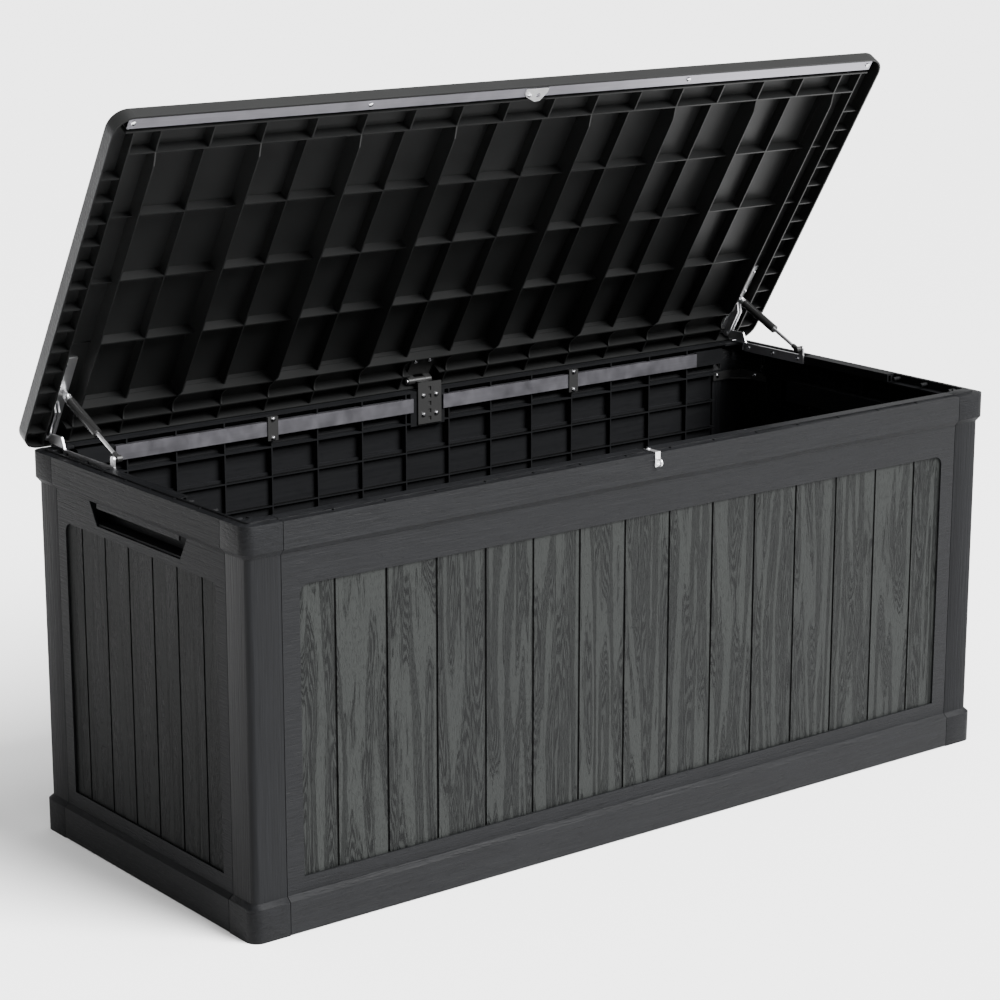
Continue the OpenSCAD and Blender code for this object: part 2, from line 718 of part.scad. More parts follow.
// A strap bent over the rim, with an eye standing out from its front leg
module lock_staple() color("#c4c6c9") difference() {
  eye_y = -half_depth - staple_plate - staple_eye_radius;
  eye_z = rim_height - 15;
  union() {
    block(staple_x - staple_half, staple_x + staple_half, -half_depth - staple_plate, -half_depth,
          rim_height - 22, rim_height + staple_plate);
    block(staple_x - staple_half, staple_x + staple_half, -half_depth - 1, staple_y + 5, rim_height,
          rim_height + staple_plate);
    rod_x(staple_x - staple_tab / 2, staple_x + staple_tab / 2, eye_y, eye_z, staple_eye_radius + 2.5);
  }
  rod_x(staple_x - staple_tab, staple_x + staple_tab, eye_y, eye_z, staple_eye_radius);
  block(staple_x - staple_tab, staple_x + staple_tab, -half_depth, -half_depth + 6, eye_z - 10, rim_height);
  staple_hole();
}

module lock_staple_screw() color("#b8babd")
  translate([staple_x, staple_y, rim_height + staple_plate]) rotate([180, 0, 0]) screw(staple_plate + skin - 0.5);

// ---------- lid ----------

// Places the closed lid's parts, then swings them open about the hinge line
module on_lid() translate([0, hinge_y, hinge_z]) rotate([-lid_open_angle, 0, 0])
  translate([0, lid_rear - hinge_y, lid_z - hinge_z]) children();

// A block in the lid's own measures: across, forward from the rear edge, up from the lower edge
module slab(x0, x1, s0, s1, t0, t1) block(x0, x1, -s1, -s0, t0, t1);

module lid_plan(grow) {
  x = lid_half + grow;
  r = lid_corner_radius + grow;
  translate([-x, -lid_length - grow + r]) square([2 * x, lid_length + 2 * grow - 2 * r]);
  translate([r - x, -lid_length - grow]) square([2 * (x - r), lid_length + 2 * grow]);
  for (i = [-1, 1], s = [lid_corner_radius, lid_length - lid_corner_radius])
    translate([i * (lid_half - lid_corner_radius), -s]) circle(r = r);
}

module lid_shell() difference() {
  union() {
    linear_extrude(lid_border - lid_edge_steps[1][0]) lid_plan(0);
    for (e = [1:4]) linear_extrude(lid_border - (e < 4 ? lid_edge_steps[e + 1][0] : 0))
      lid_plan(-lid_edge_steps[e][1]);
    slab(-lid_field, lid_field, field_s0, field_s1, border_under, lid_crown);
  }
  translate([0, 0, -1]) linear_extrude(border_under + 1) lid_plan(-skin);
  slab(skin - lid_field, lid_field - skin, field_s0 + skin, field_s1 - skin, border_under - 1, crown_under);
  translate([0, 0, lid_crown - 1.2]) linear_extrude(3)
    for (x = long_lines) strip(x, field_s0 - 1, field_s1 + 1, groove_width);
}

// Plan strips running front to back, and across
module strip(x, s0, s1, width) translate([x - width / 2, -s1]) square([width, s1 - s0]);

module cross_strip(x0, x1, s) translate([x0, -s - rib_thickness / 2]) square([x1 - x0, rib_thickness]);

// A rib running front to back, its lower edge given by (forward, height) points
module long_rib(x, points)
  translate([x - rib_thickness / 2, 0, 0]) rotate([90, 0, 90]) linear_extrude(rib_thickness)
    polygon([for (p = points) [-p[0], p[1]]]);

module tall_rib(x) long_rib(x, [
  [field_s0 + 1, crown_under + 1], [field_s0 + 1, rib_low], [field_s0 + 14, -2],
  [field_s1 - 22, -2], [field_s1 - 1, rib_low], [field_s1 - 1, crown_under + 1]
]);

module rear_ribs() difference() {
  translate([0, 0, rib_low]) linear_extrude(border_under + 1 - rib_low)
    for (i = [-bays:bays]) strip(i * bay, skin - 1, field_s0 + 1, rib_thickness);
  rod_x(-lid_half, lid_half, -(field_s0 + 30) / 2, -12, 22);
}

module low_ribs() translate([0, 0, rib_low]) linear_extrude(border_under + 1 - rib_low) {
  front_s = lid_bar_s0 - 6;
  cross_strip(-lid_field, lid_field, field_s0 + 1);
  cross_strip(-side_rib, side_rib, field_s1 - 1);
  cross_strip(-lid_bar_half, lid_bar_half, front_s);
  cross_strip(14 - lid_half, lid_half - 14, 30);
  for (i = [-bays:bays]) strip(i * bay, field_s1 - 1, front_s, rib_thickness);
  for (i = [-1, 1]) strip(i * side_rib, skin - 1, front_s, rib_thickness);
}

module field_ribs() translate([0, 0, 13]) linear_extrude(crown_under - 12) {
  for (i = [0.5, 2.5, 4.5, 6.5], j = [-1, 1]) strip(i * j * bay, field_s0 + 1, field_s1 - 1, rib_thickness);
  for (i = [1:3]) cross_strip(1 - lid_field, lid_field - 1, field_s0 + i * (field_s1 - field_s0) / 4);
}

module channel_ribs() both_sides() for (i = [1:3])
  translate([0, 0, i == 1 ? border_under - 2 : 13]) linear_extrude(i == 1 ? 3 : border_under - 12)
    cross_strip(lid_field - 1, side_rib, field_s0 + i * (field_s1 - field_s0) / 4);

module gussets() translate([0, 0, 6]) linear_extrude(border_under - 5.5)
  both_sides() for (i = [0:12]) cross_strip(side_rib, lid_half - 1, 30 + i * (field_s1 - 76) / 12);

module lid_ribs() {
  for (i = [1.5, 3.5, 5.5, 7.5]) both_sides() tall_rib(i * bay);
  field_ribs();
  channel_ribs();
  low_ribs();
  rear_ribs();
  gussets();
}

module lid_panel() {
  color("#5a5b54") on_lid() difference() {
    union() {
      lid_shell();
      lid_ribs();
    }
    // Clearance over the rim's rear edge, and pockets for the hinges
    slab(-half_width - 4, half_width + 4, -1, 14, -1, 1.8);
    slab(-31, 31, skin, field_s0 - 3, -1, border_under);
    slab(-26, 25, lid_bar_s0 - 10, lid_bar_s0, -1, lid_bar_bottom + 0.5);
    both_sides() slab(strut_x - 12, side_rib - rib_thickness / 2 - 0.5, skin, pivot_s + 80, -1, border_under);
    for (x = lid_bar_screws) translate([x, -(lid_bar_s0 + lid_bar_s1) / 2, border_under - 1])
      cylinder(h = 3, r = screw_radius);
    both_sides() for (s = bracket_bolts) translate([flange_out + 0.5, -s, border_under - 1])
      cylinder(h = 3, r = screw_radius);
    for (p = leaf_screws) translate([p[0], -p[1], border_under - 1]) cylinder(h = 3, r = screw_radius);
  }
}

module lid_bar_bores() for (x = lid_bar_screws)
  translate([x, -(lid_bar_s0 + lid_bar_s1) / 2, lid_bar_bottom - 3]) cylinder(h = 40, r = screw_radius);

module lid_front_bar() color("#8b8592") on_lid() difference() {
  slab(-lid_bar_half, lid_bar_half, lid_bar_s0, lid_bar_s1, lid_bar_bottom, lid_bar_top);
  slab(-lid_bar_half - 1, lid_bar_half + 1, lid_bar_s0 + tube_wall, lid_bar_s1 - tube_wall,
       lid_bar_bottom + tube_wall, lid_bar_top - tube_wall);
  lid_bar_bores();
  translate([-14, -latch_s, 0]) cylinder(h = 10, r = screw_radius);
}

module lid_bar_screws() color("#b8babd") on_lid() for (x = lid_bar_screws)
  translate([x, -(lid_bar_s0 + lid_bar_s1) / 2, lid_bar_bottom]) screw(border_under + 2 - lid_bar_bottom);

module lid_latch() color("#c4c6c9") on_lid() difference() {
  translate([0, 0, lid_bar_bottom - 2]) linear_extrude(2) difference() {
    polygon([[-23, -lid_bar_s1 + 3], [22, -lid_bar_s1 + 3], [22, -lid_bar_s0 - 8], [12, -lid_bar_s0 + 8],
             [2, -lid_bar_s0 + 9], [-18, -lid_bar_s0 - 1], [-23, -lid_bar_s0 - 8]]);
    translate([5, -lid_bar_s0 - 3]) circle(r = 4);
  }
  translate([-14, -latch_s, 0]) cylinder(h = 10, r = screw_radius);
}

module lid_latch_screw() color("#b8babd") on_lid()
  translate([-14, -latch_s, lid_bar_bottom - 2]) screw(2 + tube_wall + 1.5);

// ---------- lid brackets ----------

module lid_flange(x0) upright_plate(x0, x0 + plate_thickness) {
  polygon([[-hinge_s + knuckle_radius, hinge_t], [-hinge_s + knuckle_radius, web_under + 1],
           [-hinge_s - 68, web_under + 1], [-hinge_s - 54, 8], [-hinge_s, hinge_t - knuckle_radius]]);
  translate([-hinge_s, hinge_t]) circle(r = knuckle_radius);
}

module lid_bracket() difference() {
  union() {
    slab(strut_x - 6.5, flange_out + 4, hinge_s - knuckle_radius, pivot_s + 71, web_under, border_under);
    lid_flange(flange_in);
    lid_flange(flange_out);
    upright_plate(strut_x - tab_half, strut_x + tab_half) {
      translate([-pivot_s - 6.5, pivot_t]) square([13, web_under + 1 - pivot_t]);
      translate([-pivot_s, pivot_t]) circle(r = 6.5);
    }
  }
  for (x = [flange_in, flange_out])
    rod_x(x - 0.1, x + plate_thickness + 0.1, -hinge_s, hinge_t, end_pin_radius + pin_clearance);
  rod_x(strut_x - tab_half - 1, strut_x + tab_half + 1, -pivot_s, pivot_t, pivot_pin_radius + pin_clearance);
  for (s = bracket_bolts) translate([flange_out + 0.5, -s, web_under - 1]) cylinder(h = 10, r = screw_radius);
}

module lid_bracket_right() color("#9a9c9f") on_lid() lid_bracket();

module lid_bracket_left() color("#9a9c9f") on_lid() left_side() lid_bracket();

module lid_bracket_bolts() color("#b8babd") on_lid() both_sides() for (s = bracket_bolts)
  translate([flange_out + 0.5, -s, web_under]) {
    translate([0, 0, -screw_head_height]) cylinder(h = screw_head_height, r = 3.3);
    cylinder(h = plate_thickness + 2, r = screw_radius);
  }

module centre_hinge_leaf() color("#232422") on_lid() difference() {
  inner = knuckle_half + side_clearance;
  union() {
    difference() {
      slab(-leaf_half, leaf_half, hinge_s - knuckle_radius, field_s0 - 6, web_under, border_under);
      slab(-inner, inner, hinge_s - knuckle_radius - 1, hinge_s + knuckle_radius + 1, web_under - 1,
           border_under + 1);
    }
    both_sides() {
      slab(inner, leaf_half, hinge_s - knuckle_radius, hinge_s + knuckle_radius, hinge_t, web_under + 1);
      rod_x(inner, leaf_half, -hinge_s, hinge_t, knuckle_radius);
    }
  }
  rod_x(-30, 30, -hinge_s, hinge_t, centre_pin_radius + pin_clearance);
  for (p = leaf_screws) translate([p[0], -p[1], web_under - 1]) cylinder(h = 10, r = screw_radius);
}

module hinge_leaf_screws() color("#b8babd") on_lid() for (p = leaf_screws)
  translate([p[0], -p[1], web_under]) screw(plate_thickness + 2);

// ---------- struts ----------

// Local frame of the right strut: origin at the lid pivot, +Z down the strut
module on_strut() translate([strut_x, open_y, open_z]) rotate([strut_angle - 90, 0, 0]) children();

module strut_cylinder() difference() {
  translate([0, 0, cylinder_start]) cylinder(h = cylinder_length, r = strut_radius);
  translate([0, 0, cylinder_start + 4]) cylinder(h = cylinder_length - 7, r = strut_radius - 1.5);
  translate([0, 0, cylinder_end - 4]) cylinder(h = 5, r = rod_radius + pin_clearance);
}

module strut_cylinder_right() color("#1d1e1c") on_strut() strut_cylinder();

module strut_cylinder_left() color("#1d1e1c") left_side() on_strut() strut_cylinder();

module strut_clevis() difference() {
  union() {
    translate([0, 0, 8]) cylinder(h = cylinder_start - 8, r = 6);
    for (x = [-tab_half - side_clearance - ear_thickness, tab_half + side_clearance]) {
      block(x, x + ear_thickness, -5, 5, 0, 9);
      rod_x(x, x + ear_thickness, 0, 0, 5);
    }
  }
  rod_x(-8, 8, 0, 0, pivot_pin_radius);
}

module strut_clevis_right() color("#c4c6c9") on_strut() strut_clevis();

module strut_clevis_left() color("#c4c6c9") left_side() on_strut() strut_clevis();

module strut_pivot_pin() {
  half = tab_half + side_clearance + ear_thickness;
  rod_x(-half - 1.2, half + 1.2, 0, 0, pivot_pin_radius);
  rod_x(-half - 1.2, -half, 0, 0, pivot_pin_radius + 1.5);
}

module strut_pivot_pins_right() color("#b8babd") on_strut() strut_pivot_pin();

module strut_pivot_pins_left() color("#b8babd") left_side() on_strut() strut_pivot_pin();

module strut_rod() {
  translate([0, 0, strut_length - rod_reach]) cylinder(h = rod_reach - 8, r = rod_radius);
  translate([0, 0, strut_length - rod_reach]) cylinder(h = 6, r = strut_radius - 1.6);
}

module strut_rod_right() color("#cfd1d3") on_strut() strut_rod();

module strut_rod_left() color("#cfd1d3") left_side() on_strut() strut_rod();

module strut_rod_end() {
  difference() {
    union() {
      translate([0, 0, strut_length - 13]) cylinder(h = 8.5, r = 4.5);
      translate([0, 0, strut_length]) rod_x(-4.5, 4.5, 0, 0, 5.5);
    }
    translate([0, 0, strut_length - 14]) cylinder(h = 6, r = rod_radius);
  }
  translate([0, 0, strut_length]) rod_x(0, strut_radius + 0.5, 0, 0, 3.5);
}

module strut_rod_end_right() color("#2a2b29") on_strut() strut_rod_end();

module strut_rod_end_left() color("#2a2b29") left_side() on_strut() strut_rod_end();

// ---------- placement ----------

front_panel();
back_panel();
side_panel_left();
side_panel_right();
corner_post_front_left();
corner_post_front_right();
corner_post_back_left();
corner_post_back_right();
floor_panel();
corner_braces();
corner_brace_screws();
back_bar_left();
back_bar_right();
bar_straps();
bar_strap_screws();
centre_hinge_bracket();
centre_bracket_screws();
centre_hinge_pin();
hinge_plate_left();
hinge_plate_right();
hinge_plate_screws();
end_hinge_pins();
lock_staple();
lock_staple_screw();
lid_panel();
lid_front_bar();
lid_bar_screws();
lid_latch();
lid_latch_screw();
lid_bracket_left();
lid_bracket_right();
lid_bracket_bolts();
centre_hinge_leaf();
hinge_leaf_screws();
strut_cylinder_left();
strut_cylinder_right();
strut_clevis_left();
strut_clevis_right();
strut_pivot_pins_left();
strut_pivot_pins_right();
strut_rod_left();
strut_rod_right();
strut_rod_end_left();
strut_rod_end_right();
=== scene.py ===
import math

import bmesh
import bpy
from bpy.props import FloatProperty, FloatVectorProperty, PointerProperty
from mathutils import Matrix, Vector


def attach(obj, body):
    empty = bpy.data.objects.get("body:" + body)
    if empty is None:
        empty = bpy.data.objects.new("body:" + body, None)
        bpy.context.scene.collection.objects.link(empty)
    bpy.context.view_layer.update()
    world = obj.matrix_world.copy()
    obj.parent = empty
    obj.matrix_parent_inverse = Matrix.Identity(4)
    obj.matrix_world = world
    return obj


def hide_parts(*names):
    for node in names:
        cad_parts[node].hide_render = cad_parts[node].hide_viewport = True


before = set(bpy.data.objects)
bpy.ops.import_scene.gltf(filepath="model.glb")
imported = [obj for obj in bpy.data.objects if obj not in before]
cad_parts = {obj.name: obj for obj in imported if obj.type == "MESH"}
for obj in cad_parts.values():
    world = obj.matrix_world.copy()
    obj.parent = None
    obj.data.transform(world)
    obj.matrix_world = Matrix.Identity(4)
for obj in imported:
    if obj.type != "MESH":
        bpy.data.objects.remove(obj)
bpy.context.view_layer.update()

# Hinge line, and the shut lid's rear and lower edges, in metres
HINGE_Y, HINGE_Z = 0.309, 0.6394
LID_REAR, LID_EDGE = 0.3194, 0.6268
LID_OPEN = math.radians(58.8)
# Where the lid's raised middle and its end skirts begin, measured across
LID_MIDDLE, LID_SKIRT = 0.684, 0.7665

# Sunk plank fields: heights, half widths, and distance of the planks' faces from the middle
FIELD_LOW, FIELD_HIGH = 0.08, 0.527
LONG_FIELD, LONG_FACE = 0.6555, 0.2955
END_FIELD, END_FACE = 0.219, 0.738
PLINTH_TOP, RIM_SHOULDER = 0.0587, 0.5735

# Darkest and lightest share of a frame tone in its grain
GRAIN_LOW, GRAIN_HIGH = 0.7, 1.3

CAMERA_PLACE = (-2.75755, -3.48094, 1.60469)
CAMERA_TILT, CAMERA_TURN = math.radians(75.889), math.radians(-37.749)
CAMERA_LENS = 100.22
KEY_TOWARD, KEY_STRENGTH, KEY_SPREAD = (0.34, -0.68, 0.65), 15.0, 34.0

bl_info = {
    "name": "Deck storage box",
    "version": (1, 0, 0),
    "blender": (4, 5, 0),
    "location": "3D View > Sidebar > Deck box",
    "description": "Finishes and fittings of a long resin deck storage box with a strut-held lid",
    "category": "Object",
}


# ---------- settings ----------

class DeckBoxSizes(bpy.types.PropertyGroup):
    """Sizes of the planks, edges and screws"""
    plank_pitch: FloatProperty(name="Plank pitch", description="Spacing of the planks on the long walls",
                               default=0.091, unit="LENGTH")
    side_pitch: FloatProperty(name="Side plank pitch", description="Spacing of the planks on the end walls",
                              default=0.0694, unit="LENGTH")
    edge_round: FloatProperty(name="Edge rounding", description="Radius of the moulded edges",
                              default=0.0011, unit="LENGTH")
    screw_radius: FloatProperty(name="Screw head radius", description="Radius of the pan head screws",
                                default=0.004, unit="LENGTH")
    screw_height: FloatProperty(name="Screw head height", description="Height of the pan head screws",
                                default=0.0025, unit="LENGTH")


class DeckBoxColours(bpy.types.PropertyGroup):
    """Tones of the resin and the metal"""
    resin_light: FloatVectorProperty(name="Grain, light", description="Lighter tone of the moulded grain",
                                     subtype="COLOR", size=3, default=(0.0148, 0.0160, 0.0153))
    resin_dark: FloatVectorProperty(name="Grain, dark", description="Darker tone of the moulded grain",
                                    subtype="COLOR", size=3, default=(0.0024, 0.0026, 0.0027))
    frame_tone: FloatVectorProperty(name="Frame", description="Tone of the rim, posts and plinth",
                                    subtype="COLOR", size=3, default=(0.0052, 0.0054, 0.0060))
    bar_steel: FloatVectorProperty(name="Bar steel", description="Tone of the reinforcing bars",
                                   subtype="COLOR", size=3, default=(0.25, 0.245, 0.27))
    bright_steel: FloatVectorProperty(name="Bright steel", description="Tone of the plated fittings",
                                      subtype="COLOR", size=3, default=(0.62, 0.62, 0.63))
    black: FloatVectorProperty(name="Black", description="Tone of the black fittings",
                               subtype="COLOR", size=3, default=(0.014, 0.014, 0.014))


def sizes():
    return bpy.context.scene.deck_box_sizes


def colours():
    return bpy.context.scene.deck_box_colours


# ---------- materials ----------

class Finish:
    """Builds one node material step by step."""

    def __init__(self, name):
        self.material = bpy.data.materials.new(name)
        self.material.use_nodes = True
        self.tree = self.material.node_tree
        self.shader = self.tree.nodes["Principled BSDF"]
        coordinates = self.tree.nodes.new("ShaderNodeTexCoord")
        self.place = coordinates.outputs["Object"]
        self.normal = coordinates.outputs["Normal"]

    def facing(self, axis):
        """The surface normal's share along one axis, 0 to 2 for X to Z."""
        split = self.node("ShaderNodeSeparateXYZ")
        self.join(self.normal, split.inputs[0])
        return split.outputs[axis]

    def node(self, kind, **values):
        made = self.tree.nodes.new(kind)
        for key, value in values.items():
            setattr(made, key, value)
        return made

    def join(self, source, socket):
        self.tree.links.new(source, socket)

    def put(self, socket, value):
        if hasattr(value, "is_output"):
            self.join(value, socket)
        else:
            socket.default_value = value

    def math(self, operation, a, b=0.0):
        made = self.node("ShaderNodeMath", operation=operation)
        for socket, value in zip(made.inputs, (a, b)):
            self.put(socket, value)
        return made.outputs[0]

    def axes(self):
        made = self.node("ShaderNodeSeparateXYZ")
        self.join(self.place, made.inputs[0])
        return made.outputs

    def vector(self, x, y, z):
        made = self.node("ShaderNodeCombineXYZ")
        for socket, value in zip(made.inputs, (x, y, z)):
            self.put(socket, value)
        return made.outputs[0]

    def stretch(self, scale):
        made = self.node("ShaderNodeMapping")
        self.join(self.place, made.inputs["Vector"])
        made.inputs["Scale"].default_value = scale
        return made.outputs[0]

    def noise(self, source, scale, detail=3.0, rough=0.55, distortion=0.0):
        made = self.node("ShaderNodeTexNoise")
        self.join(source, made.inputs["Vector"])
        made.inputs["Scale"].default_value = scale
        made.inputs["Detail"].default_value = detail
        made.inputs["Roughness"].default_value = rough
        made.inputs["Distortion"].default_value = distortion
        return made.outputs["Fac"]

    def remap(self, value, low, high, to_low=0.0, to_high=1.0, smooth=False):
        made = self.node("ShaderNodeMapRange", interpolation_type="SMOOTHSTEP" if smooth else "LINEAR")
        for key, number in (("From Min", low), ("From Max", high), ("To Min", to_low), ("To Max", to_high)):
            made.inputs[key].default_value = number
        self.join(value, made.inputs["Value"])
        return made.outputs[0]

    def mix(self, factor, a, b):
        made = self.node("ShaderNodeMix", data_type="RGBA")
        for socket, value in ((made.inputs["Factor"], factor), (made.inputs["A"], a), (made.inputs["B"], b)):
            self.put(socket, (*value, 1.0) if isinstance(value, (tuple, list)) and len(value) == 3 else value)
        return made.outputs["Result"]

    def blend(self, factor, a, b):
        """a where factor is 0 and b where it is 1, for plain numbers."""
        return self.math("ADD", self.math("MULTIPLY", self.math("SUBTRACT", 1.0, factor), a),
                         self.math("MULTIPLY", factor, b))

    def bump(self, height, strength, distance):
        made = self.node("ShaderNodeBump")
        made.inputs["Strength"].default_value = strength
        made.inputs["Distance"].default_value = distance
        self.join(height, made.inputs["Height"])
        self.join(made.outputs[0], self.shader.inputs["Normal"])

    def done(self, colour, rough, metallic=0.0, specular=0.5):
        self.join(colour, self.shader.inputs["Base Color"])
        self.put(self.shader.inputs["Roughness"], rough)
        self.shader.inputs["Metallic"].default_value = metallic
        self.shader.inputs["Specular IOR Level"].default_value = specular
        return self.material


def plain(colour):
    return tuple(colour)


def scaled(colour, share):
    return [channel * share for channel in colour]


def level_grain(f, along, other, z):
    """Brushed grain that runs level round the rim, the frame and the plinth."""
    place = f.vector(f.math("MULTIPLY", along, 11.0), f.math("MULTIPLY", other, 70.0),
                     f.math("MULTIPLY", z, 340.0))
    streaks = f.noise(place, 1.0, 4.0, 0.66, 0.2)
    spots = f.vector(f.math("MULTIPLY", along, 60.0), f.math("MULTIPLY", other, 90.0),
                     f.math("MULTIPLY", z, 300.0))
    pits = f.remap(f.noise(spots, 1.0, 2.0, 0.5), 0.55, 0.75)
    return f.math("SUBTRACT", streaks, f.math("MULTIPLY", pits, 0.25))


def moulded_resin(name, across, pitch, half, outside, field_dark, field_light, dim, shine):
    """Moulded resin: upright flame grain inside the plank field, level brushed grain on the frame round it.

    across is the axis the planks are counted along, half the field's half width and outside the distance
    from the middle to the planks' faces. The shade share scales the frame's tone down as painted shade on
    shaded walls, and shine is the wall's sheen.
    """
    f = Finish(name)
    tones = colours()
    x, y, z = f.axes()
    along = x if across == "X" else y
    other = y if across == "X" else x
    depth = f.math("ABSOLUTE", other)
    facing = f.facing(0 if across == "Y" else 1)
    outer = f.math("GREATER_THAN", f.math("MULTIPLY", f.math("SIGN", other), facing), -0.2)
    groove = f.math("MULTIPLY", outer, f.math("LESS_THAN", depth, outside - 0.0007))
    plank = f.math("FLOOR", f.math("DIVIDE", f.math("ADD", along, pitch / 2), pitch))
    shift = f.math("FRACT", f.math("MULTIPLY", f.math("SINE", f.math("MULTIPLY", plank, 12.9898)), 437.585))
    within = f.math("LESS_THAN", f.math("ABSOLUTE", along), half)
    band = f.math("MULTIPLY", f.math("GREATER_THAN", z, FIELD_LOW), f.math("LESS_THAN", z, FIELD_HIGH))
    inside = f.math("MULTIPLY", within, band)
    sunk = f.math("LESS_THAN", depth, outside + 0.0012)
    inside = f.math("MULTIPLY", inside, f.math("MULTIPLY", outer, sunk))
    # Flame grain: contour lines of a slow swell, drawn out along each plank and frayed by its fibres
    fibre_place = f.vector(f.math("MULTIPLY", along, 560.0), f.math("MULTIPLY", shift, 9.0),
                           f.math("MULTIPLY", z, 24.0))
    fibre = f.noise(fibre_place, 1.0, 3.0, 0.7)
    swell_place = f.vector(f.math("MULTIPLY", along, 25.0), f.math("MULTIPLY", shift, 19.0),
                           f.math("ADD", f.math("MULTIPLY", z, 1.7), f.math("MULTIPLY", shift, 7.0)))
    swell = f.noise(swell_place, 1.0, 1.6, 0.5, 0.3)
    frayed = f.math("ADD", swell, f.math("MULTIPLY", f.math("SUBTRACT", fibre, 0.5), 0.12))
    broad = f.math("FRACT", f.math("MULTIPLY", frayed, 5.0))
    broad = f.remap(f.math("ABSOLUTE", f.math("SUBTRACT", broad, 0.5)), 0.27, 0.33, smooth=True)
    lines = f.math("FRACT", f.math("ADD", f.math("MULTIPLY", swell, 64.0), f.math("MULTIPLY", fibre, 1.5)))
    lines = f.remap(f.math("ABSOLUTE", f.math("SUBTRACT", lines, 0.5)), 0.10, 0.34, smooth=True)
    pore_place = f.vector(f.math("MULTIPLY", along, 900.0), f.math("MULTIPLY", shift, 5.0),
                          f.math("MULTIPLY", z, 120.0))
    pores = f.remap(f.noise(pore_place, 1.0, 1.0), 0.56, 0.68)
    ribbed = f.math("ADD", f.math("MULTIPLY", lines, 0.62), f.math("MULTIPLY", fibre, 0.35))
    smooth = f.math("ADD", 0.8, f.math("MULTIPLY", fibre, 0.3))
    upright = f.blend(broad, ribbed, smooth)
    upright = f.math("SUBTRACT", upright, f.math("MULTIPLY", pores, 0.3))
    level = level_grain(f, along, other, z)
    cloud = f.noise(f.place, 5.0, 2.0)
    grain = f.blend(inside, level, upright)
    field_tone = f.mix(f.remap(upright, 0.1, 1.0), field_dark, field_light)
    # Painted shade: the grooves between the planks are darkened to a quarter of the dark tone
    field_tone = f.mix(groove, field_tone, scaled(field_dark, 0.25))
    # Painted shade: the frame's tone is scaled down by the shade share on the shaded end walls
    frame_low = scaled(tones.frame_tone, GRAIN_LOW * dim)
    frame_high = scaled(tones.frame_tone, GRAIN_HIGH * dim)
    frame_tone = f.mix(f.remap(level, 0.3, 0.7), frame_low, frame_high)
    # Painted shade: the walls' inner faces take a darker tone than the frame outside, for the shade inside
    # the box
    inner_shade_tone = f.mix(f.remap(level, 0.3, 0.7), scaled(tones.frame_tone, 0.62),
                       scaled(tones.frame_tone, 0.8))
    tone = f.mix(inside, f.mix(outer, inner_shade_tone, frame_tone), field_tone)
    tone = f.mix(f.remap(cloud, 0.35, 0.65, 0.0, 0.15), tone, scaled(tones.frame_tone, 1.25))
    relief = f.math("ADD", 0.03, f.math("MULTIPLY", outer, 0.97))
    f.bump(f.math("MULTIPLY", grain, relief), 0.8, 0.0016)
    rough = f.math("ADD", 0.40, f.math("MULTIPLY", grain, 0.18))
    return f.done(tone, rough, specular=shine)


def post_resin(name, tone_low, tone_high, plinth, rim):
    """Resin with upright brushed grain between the plinth and the rim, and level grain on both."""
    f = Finish(name)
    x, y, z = f.axes()
    fine = f.noise(f.stretch((330.0, 330.0, 10.0)), 1.0, 4.0, 0.64, 0.2)
    slow = f.noise(f.stretch((14.0, 14.0, 2.0)), 1.0, 2.0)
    upright = f.math("ADD", f.math("MULTIPLY", fine, 0.75), f.math("MULTIPLY", slow, 0.25))
    level = level_grain(f, f.math("ADD", x, y), f.math("SUBTRACT", x, y), z)
    body = f.math("MULTIPLY", f.math("GREATER_THAN", z, plinth), f.math("LESS_THAN", z, rim))
    grain = f.blend(body, level, upright)
    tone = f.mix(f.remap(grain, 0.3, 0.7), tone_low, tone_high)
    # Painted shade: the end faces take a darker tone than the long ones, matching the painted shade on the
    # end walls
    ends = f.math("MULTIPLY", f.math("ABSOLUTE", f.facing(0)), 0.42)
    tone = f.mix(ends, tone, scaled(tone_low, 0.1))
    f.bump(grain, 0.8, 0.0016)
    rough = f.math("ADD", 0.40, f.math("MULTIPLY", grain, 0.18))
    return f.done(tone, rough, specular=0.06)


def smooth_resin(name, tone_low, tone_high, roughness, relief):
    """Fine sparked resin, as inside the lid and on the black fittings."""
    f = Finish(name)
    fine = f.noise(f.place, 900.0, 2.0)
    slow = f.noise(f.place, 9.0, 3.0)
    mottle = f.math("ADD", f.math("MULTIPLY", fine, 0.4), f.math("MULTIPLY", slow, 0.6))
    tone = f.mix(mottle, tone_low, tone_high)
    f.bump(fine, relief, 0.0004)
    rough = f.math("ADD", roughness, f.math("MULTIPLY", slow, 0.14))
    return f.done(tone, rough, specular=0.28)


